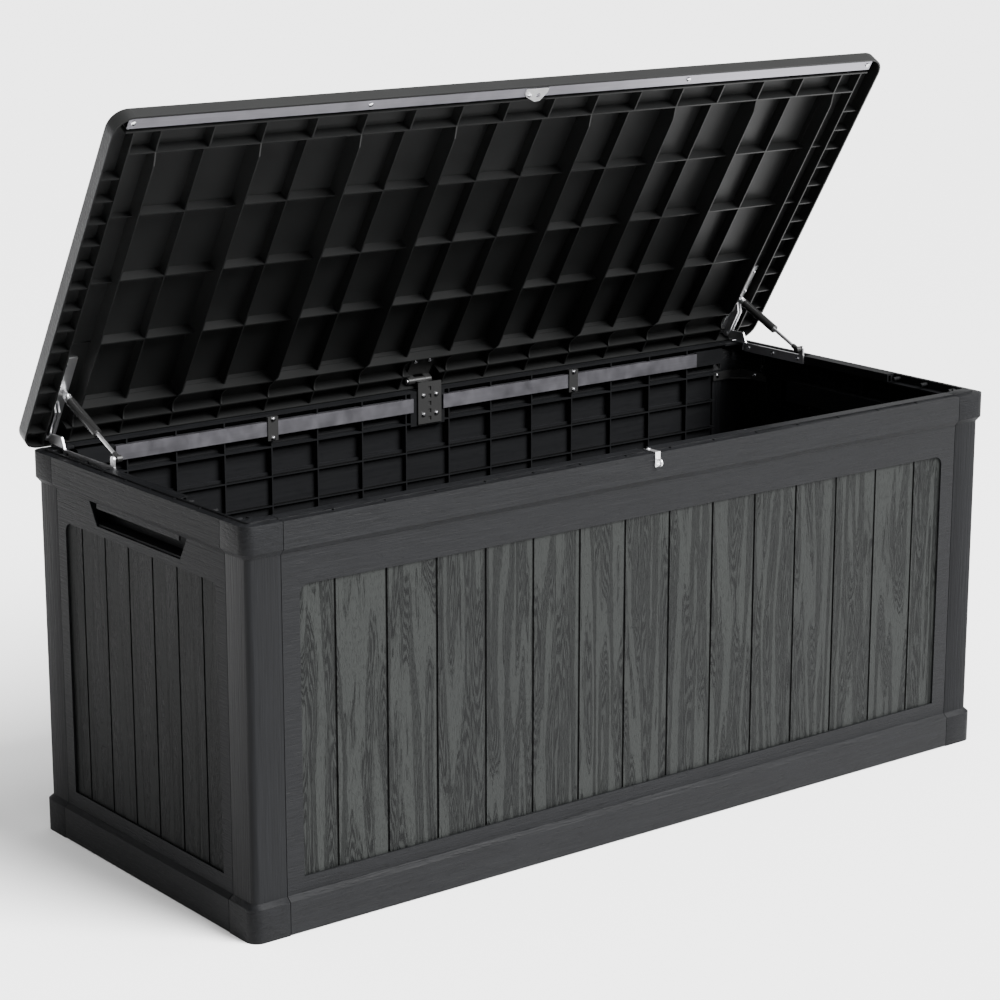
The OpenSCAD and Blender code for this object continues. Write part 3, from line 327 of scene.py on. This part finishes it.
def lid_resin(name, inner_low, inner_high, outer_low, outer_high, open_angle):
    """The lid moulding: fine sparked resin inside, brushed plank grain on its outer faces."""
    f = Finish(name)
    x, y, z = f.axes()
    up = (math.sin(open_angle), math.cos(open_angle))
    rise = f.math("ADD", f.math("MULTIPLY", f.facing(1), up[0]), f.math("MULTIPLY", f.facing(2), up[1]))
    top = f.math("GREATER_THAN", rise, 0.3)
    reach = f.math("GREATER_THAN", f.math("ABSOLUTE", x), LID_SKIRT)
    outer = f.math("MAXIMUM", top, reach)
    length = f.math("SUBTRACT", f.math("MULTIPLY", z, up[0]), f.math("MULTIPLY", y, up[1]))
    height = f.math("ADD", f.math("MULTIPLY", y, up[0]), f.math("MULTIPLY", z, up[1]))
    planks = f.vector(f.math("MULTIPLY", x, 330.0), f.math("MULTIPLY", length, 10.0), height)
    border = f.vector(f.math("MULTIPLY", x, 11.0), f.math("MULTIPLY", length, 300.0),
                      f.math("MULTIPLY", height, 300.0))
    raised = f.math("LESS_THAN", f.math("ABSOLUTE", x), LID_MIDDLE)
    grain = f.blend(raised, f.noise(border, 1.0, 4.0, 0.66, 0.2), f.noise(planks, 1.0, 4.0, 0.64, 0.2))
    fine = f.noise(f.place, 900.0, 2.0)
    slow = f.noise(f.place, 9.0, 3.0)
    mottle = f.math("ADD", f.math("MULTIPLY", fine, 0.4), f.math("MULTIPLY", slow, 0.6))
    inside = f.mix(mottle, inner_low, inner_high)
    tone = f.mix(outer, inside, f.mix(f.remap(grain, 0.3, 0.7), outer_low, outer_high))
    f.bump(f.blend(outer, f.math("MULTIPLY", fine, 0.1), grain), 0.8, 0.0014)
    rough = f.math("ADD", 0.36, f.math("MULTIPLY", slow, 0.14))
    return f.done(tone, rough, specular=0.2)


def drawn_steel(name, tone, stretch, roughness):
    """Steel with fine drawing lines and a little mottling."""
    f = Finish(name)
    lines = f.noise(f.stretch(stretch), 1.0, 3.0, 0.6)
    mottle = f.noise(f.place, 38.0, 3.0)
    low = scaled(tone, 0.78)
    high = [min(1.0, c * 1.16) for c in tone]
    colour = f.mix(f.math("ADD", f.math("MULTIPLY", lines, 0.5), f.math("MULTIPLY", mottle, 0.5)), low, high)
    f.bump(lines, 0.12, 0.0003)
    rough = f.math("ADD", roughness, f.math("MULTIPLY", mottle, 0.16))
    return f.done(colour, rough, metallic=1.0)


def coat(names, material):
    for name in names:
        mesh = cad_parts[name].data
        mesh.materials.clear()
        mesh.materials.append(material)


# ---------- mesh helpers ----------

def deselect():
    if bpy.context.object and bpy.context.object.mode != "OBJECT":
        bpy.ops.object.mode_set(mode="OBJECT")
    bpy.ops.object.select_all(action="DESELECT")


def choose(piece):
    deselect()
    piece.select_set(True)
    bpy.context.view_layer.objects.active = piece


def settle(piece):
    """Puts the piece's place, turn and size into its mesh."""
    choose(piece)
    bpy.ops.object.transform_apply(location=True, rotation=True, scale=True)


def eased_copy(name, node, radius, angle=35.0):
    """A copy of a CAD node with its loose triangles merged and its edges rounded."""
    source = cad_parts[node]
    piece = bpy.data.objects.new(name, source.data.copy())
    bpy.context.scene.collection.objects.link(piece)
    choose(piece)
    bpy.ops.object.mode_set(mode="EDIT")
    bpy.ops.mesh.select_all(action="SELECT")
    bpy.ops.mesh.remove_doubles(threshold=0.00001)
    bpy.ops.mesh.dissolve_limited(angle_limit=math.radians(1.0))
    bpy.ops.object.mode_set(mode="OBJECT")
    rounding = piece.modifiers.new("Edge rounding", "BEVEL")
    rounding.width = radius
    rounding.segments = 2
    rounding.limit_method = "ANGLE"
    rounding.angle_limit = math.radians(angle)
    rounding.harden_normals = False
    rounding.use_clamp_overlap = True
    bpy.ops.object.modifier_apply(modifier=rounding.name)
    bpy.ops.object.shade_smooth_by_angle(angle=math.radians(38.0))
    return piece


def pan_head_screw(radius, height, length):
    """One screw pointing along +Z, its domed and crossed head below the origin."""
    deselect()
    bpy.ops.mesh.primitive_cylinder_add(vertices=28, radius=radius, depth=height * 0.5,
                                        location=(0.0, 0.0, -height * 0.25))
    screw = bpy.context.object
    settle(screw)
    bpy.ops.object.mode_set(mode="EDIT")
    bpy.ops.mesh.select_mode(type="FACE")
    for drop, size in ((0.24, 0.86), (0.16, 0.72), (0.1, 0.6)):
        pick_faces(screw, lambda face: face.normal.z < -0.9)
        bpy.ops.mesh.extrude_region_move(TRANSFORM_OT_translate={"value": (0.0, 0.0, -height * drop)})
        bpy.ops.transform.resize(value=(size, size, 1.0), center_override=(0.0, 0.0, 0.0))
    pick_faces(screw, lambda face: face.normal.z > 0.9)
    bpy.ops.mesh.inset(thickness=radius * 0.5)
    bpy.ops.mesh.extrude_region_move(TRANSFORM_OT_translate={"value": (0.0, 0.0, length)})
    bpy.ops.object.mode_set(mode="OBJECT")
    for turn in (0.0, math.pi / 2):
        deselect()
        bpy.ops.mesh.primitive_cube_add(size=1.0, location=(0.0, 0.0, -height))
        cutter = bpy.context.object
        cutter.scale = (radius * 0.95, radius * 0.22, height * 0.75)
        cutter.rotation_euler = (0.0, 0.0, turn)
        settle(cutter)
        choose(screw)
        cut = screw.modifiers.new("Cross", "BOOLEAN")
        cut.operation = "DIFFERENCE"
        cut.solver = "EXACT"
        cut.object = cutter
        bpy.ops.object.modifier_apply(modifier=cut.name)
        bpy.data.objects.remove(cutter)
    bpy.ops.object.shade_smooth_by_angle(angle=math.radians(35.0))
    return screw


def pick_faces(piece, wanted):
    """Selects the faces that wanted(face) accepts, in edit mode, and leaves the rest."""
    grown = bmesh.from_edit_mesh(piece.data)
    for face in grown.faces:
        face.select_set(wanted(face))
    grown.select_flush_mode()
    bmesh.update_edit_mesh(piece.data)


def swing(x, s, t):
    """A point of the open lid from its own measures: across, forward from the rear edge, up from the edge."""
    flat = Vector((x, LID_REAR - s - HINGE_Y, LID_EDGE + t - HINGE_Z))
    return Matrix.Rotation(-LID_OPEN, 3, "X") @ flat + Vector((0.0, HINGE_Y, HINGE_Z))


def screw_places():
    """(place of the head's seat, direction driven) for each screw of each node."""
    ends = (-1, 1)
    up = Matrix.Rotation(-LID_OPEN, 3, "X") @ Vector((0.0, 0.0, 1.0))
    forward = Vector((0.0, 1.0, 0.0))
    braces = [(Vector((i * 0.675, j * 0.2905, 0.5655)), Vector((0, j, 0))) for i in ends for j in ends]
    braces += [(Vector((i * 0.733, j * 0.2525, 0.5655)), Vector((i, 0, 0))) for i in ends for j in ends]
    return {
        "corner_brace_screws": braces,
        "bar_strap_screws": [(Vector((i * 0.3185, 0.278, z)), forward) for i in ends for z in (0.587, 0.619)],
        "centre_bracket_screws": [(Vector((0.0025 + i * 0.0135, 0.28, z)), forward)
                                  for i in ends for z in (0.585, 0.618)],
        "hinge_plate_screws": [(Vector((i * 0.714, y, 0.62)), Vector((i, 0, 0)))
                               for i in ends for y in (0.12, 0.185, 0.25)],
        "lock_staple_screw": [(Vector((0.0075, -0.2855, 0.626)), Vector((0.0, 0.0, -1.0)))],
        "lid_bar_screws": [(swing(i * x, 0.6214, 0.005), up) for i in ends for x in (0.3205, 0.7345)],
        "lid_latch_screw": [(swing(-0.014, 0.6164, 0.003), up)],
        "lid_bracket_bolts": [(swing(i * 0.7178, s, 0.02), up) for i in ends for s in (0.1055, 0.1505)],
        "hinge_leaf_screws": [(swing(i * 0.015, 0.0484, 0.02), up) for i in ends],
    }


# ---------- operators ----------

class DECKBOX_OT_stage(bpy.types.Operator):
    """Sets out the pale floor, the studio lights and the camera"""
    bl_idname = "deckbox.stage"
    bl_label = "Stage"

    def execute(self, context):
        deselect()
        bpy.ops.mesh.primitive_plane_add(size=60.0, location=(0.0, 0.0, 0.0))
        floor = context.object
        floor.name = "stage_floor"
        pale = Finish("pale_floor")
        tone = pale.mix(pale.noise(pale.place, 0.6), (0.93, 0.93, 0.93), (0.95, 0.95, 0.95))
        floor.data.materials.append(pale.done(tone, 0.9, specular=0.1))
        world = bpy.data.worlds.new("studio")
        world.use_nodes = True
        world.node_tree.nodes["Background"].inputs["Color"].default_value = (1.0, 1.0, 1.0, 1.0)
        world.node_tree.nodes["Background"].inputs["Strength"].default_value = 1.0
        context.scene.world = world
        self.key_light(KEY_TOWARD, KEY_STRENGTH, KEY_SPREAD)
        self.soft_light("top_light", (0.6, -1.2, 4.4), (0.0, 0.0, 0.5), 2.2, 120.0)
        camera = bpy.data.objects.new("camera", bpy.data.cameras.new("camera"))
        context.scene.collection.objects.link(camera)
        camera.location = CAMERA_PLACE
        camera.rotation_euler = (CAMERA_TILT, 0.0, CAMERA_TURN)
        camera.data.sensor_width = 36.0
        camera.data.lens = CAMERA_LENS
        camera.data.clip_end = 200.0
        context.scene.camera = camera
        return {"FINISHED"}

    @staticmethod
    def key_light(toward, strength, spread):
        lamp = bpy.data.lights.new("key_light", "SUN")
        lamp.energy = strength
        lamp.angle = math.radians(spread)
        made = bpy.data.objects.new("key_light", lamp)
        bpy.context.scene.collection.objects.link(made)
        made.rotation_euler = Vector(toward).to_track_quat("Z", "Y").to_euler()

    @staticmethod
    def soft_light(name, place, aim, size, power):
        lamp = bpy.data.lights.new(name, "AREA")
        lamp.shape = "DISK"
        lamp.size = size
        lamp.energy = power
        made = bpy.data.objects.new(name, lamp)
        bpy.context.scene.collection.objects.link(made)
        made.location = place
        made.rotation_euler = (Vector(aim) - Vector(place)).to_track_quat("-Z", "Y").to_euler()


class DECKBOX_OT_walls(bpy.types.Operator):
    """Gives the wall panels and posts their moulded grain and rounded edges"""
    bl_idname = "deckbox.walls"
    bl_label = "Walls and posts"

    def execute(self, context):
        s = sizes()
        tones = colours()
        light, dark = plain(tones.resin_light), plain(tones.resin_dark)
        long_wall = moulded_resin("long_wall_resin", "X", s.plank_pitch, LONG_FIELD, LONG_FACE,
                                  dark, light, dim=1.0, shine=0.08)
        # Painted shade: the end walls take a darker tone and less sheen than the long ones, though they are
        # the same resin
        end_wall = moulded_resin("end_wall_shaded_resin", "Y", s.side_pitch, END_FIELD, END_FACE,
                                 scaled(dark, 0.6), scaled(light, 0.28), dim=0.62, shine=0.05)
        low = scaled(tones.frame_tone, GRAIN_LOW)
        high = scaled(tones.frame_tone, GRAIN_HIGH)
        posts = post_resin("post_resin", low, high, PLINTH_TOP, RIM_SHOULDER)
        coat(("front_panel", "back_panel"), long_wall)
        coat(("side_panel_left", "side_panel_right"), end_wall)
        coat([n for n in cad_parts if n.startswith("corner_post")], posts)
        for node in [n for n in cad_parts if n.startswith("corner_post")]:
            piece = eased_copy(node.replace("corner_post", "post"), node, s.edge_round)
            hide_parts(node)
            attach(piece, "box")
        return {"FINISHED"}


class DECKBOX_OT_lid(bpy.types.Operator):
    """Finishes the lid moulding and the floor"""
    bl_idname = "deckbox.lid"
    bl_label = "Lid and floor"

    def execute(self, context):
        tones = colours()
        outer_low = scaled(tones.frame_tone, GRAIN_LOW)
        outer_high = scaled(tones.frame_tone, GRAIN_HIGH)
        coat(["lid_panel"], lid_resin("lid_resin", (0.0032, 0.0033, 0.0033), (0.0056, 0.0058, 0.0058),
                                      outer_low, outer_high, LID_OPEN))
        floor = smooth_resin("floor_resin", (0.006, 0.006, 0.006), (0.010, 0.010, 0.010), 0.5, 0.12)
        coat(["floor_panel"], floor)
        return {"FINISHED"}


class DECKBOX_OT_fittings(bpy.types.Operator):
    """Finishes the steel and black fittings"""
    bl_idname = "deckbox.fittings"
    bl_label = "Fittings"

    def execute(self, context):
        tones = colours()
        names = list(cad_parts)
        bars = drawn_steel("bar_steel", tones.bar_steel, (3.0, 400.0, 400.0), 0.3)
        plates = drawn_steel("plate_steel", (0.5, 0.5, 0.51), (200.0, 60.0, 60.0), 0.32)
        bright = drawn_steel("bright_steel", tones.bright_steel, (120.0, 120.0, 120.0), 0.3)
        black = smooth_resin("black_fittings", plain(tones.black), (0.010, 0.010, 0.010), 0.36, 0.15)
        gloss = smooth_resin("black_paint", (0.008, 0.008, 0.008), (0.014, 0.014, 0.014), 0.14, 0.03)
        coat([n for n in names if n.startswith("back_bar") or n == "lid_front_bar"], bars)
        coat([n for n in names if n.startswith(("hinge_plate_l", "hinge_plate_r", "lid_bracket"))], plates)
        coat([n for n in names if "screw" in n or "bolt" in n or "pin" in n.split("_")
              or "pins" in n.split("_")], bright)
        coat(["lock_staple", "lid_latch", "strut_clevis_left", "strut_clevis_right",
              "strut_rod_left", "strut_rod_right"], bright)
        coat(["bar_straps", "centre_hinge_bracket", "centre_hinge_leaf", "corner_braces",
              "strut_rod_end_left", "strut_rod_end_right"], black)
        coat(["strut_cylinder_left", "strut_cylinder_right"], gloss)
        return {"FINISHED"}


class DECKBOX_OT_screws(bpy.types.Operator):
    """Models the domed, crossed screws in place of the plain ones"""
    bl_idname = "deckbox.screws"
    bl_label = "Screws"

    def execute(self, context):
        s = sizes()
        metal = bpy.data.materials["bright_steel"]
        for node, places in screw_places().items():
            radius = 0.0033 if node == "lid_bracket_bolts" else s.screw_radius
            pattern = pan_head_screw(radius, s.screw_height, 0.004)
            copies = []
            for place, drive in places:
                copy = bpy.data.objects.new(node, pattern.data.copy())
                context.scene.collection.objects.link(copy)
                turn = drive.to_track_quat("Z", "X").to_matrix().to_4x4()
                copy.data.transform(Matrix.Translation(place) @ turn)
                copies.append(copy)
            bpy.data.objects.remove(pattern)
            deselect()
            for copy in copies:
                copy.select_set(True)
            context.view_layer.objects.active = copies[0]
            if len(copies) > 1:
                bpy.ops.object.join()
            piece = context.view_layer.objects.active
            piece.name = "domed_" + node
            piece.data.materials.clear()
            piece.data.materials.append(metal)
            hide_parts(node)
            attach(piece, "lid" if node.startswith(("lid", "hinge_leaf")) else "box")
        return {"FINISHED"}


OPERATORS = (DECKBOX_OT_stage, DECKBOX_OT_walls, DECKBOX_OT_lid, DECKBOX_OT_fittings, DECKBOX_OT_screws)


class DECKBOX_PT_panel(bpy.types.Panel):
    """Lists the deck box's pieces and finishes"""
    bl_label = "Deck box"
    bl_idname = "DECKBOX_PT_panel"
    bl_space_type = "VIEW_3D"
    bl_region_type = "UI"
    bl_category = "Deck box"

    def draw(self, context):
        for operator in OPERATORS:
            self.layout.operator(operator.bl_idname)


CLASSES = (DeckBoxSizes, DeckBoxColours, *OPERATORS, DECKBOX_PT_panel)


def register():
    for cls in CLASSES:
        bpy.utils.register_class(cls)
    bpy.types.Scene.deck_box_sizes = PointerProperty(type=DeckBoxSizes)
    bpy.types.Scene.deck_box_colours = PointerProperty(type=DeckBoxColours)


def unregister():
    del bpy.types.Scene.deck_box_colours
    del bpy.types.Scene.deck_box_sizes
    for cls in reversed(CLASSES):
        bpy.utils.unregister_class(cls)


def main():
    register()
    bpy.ops.deckbox.stage()
    bpy.ops.deckbox.walls()
    bpy.ops.deckbox.lid()
    bpy.ops.deckbox.fittings()
    bpy.ops.deckbox.screws()


if __name__ == "__main__":
    main()
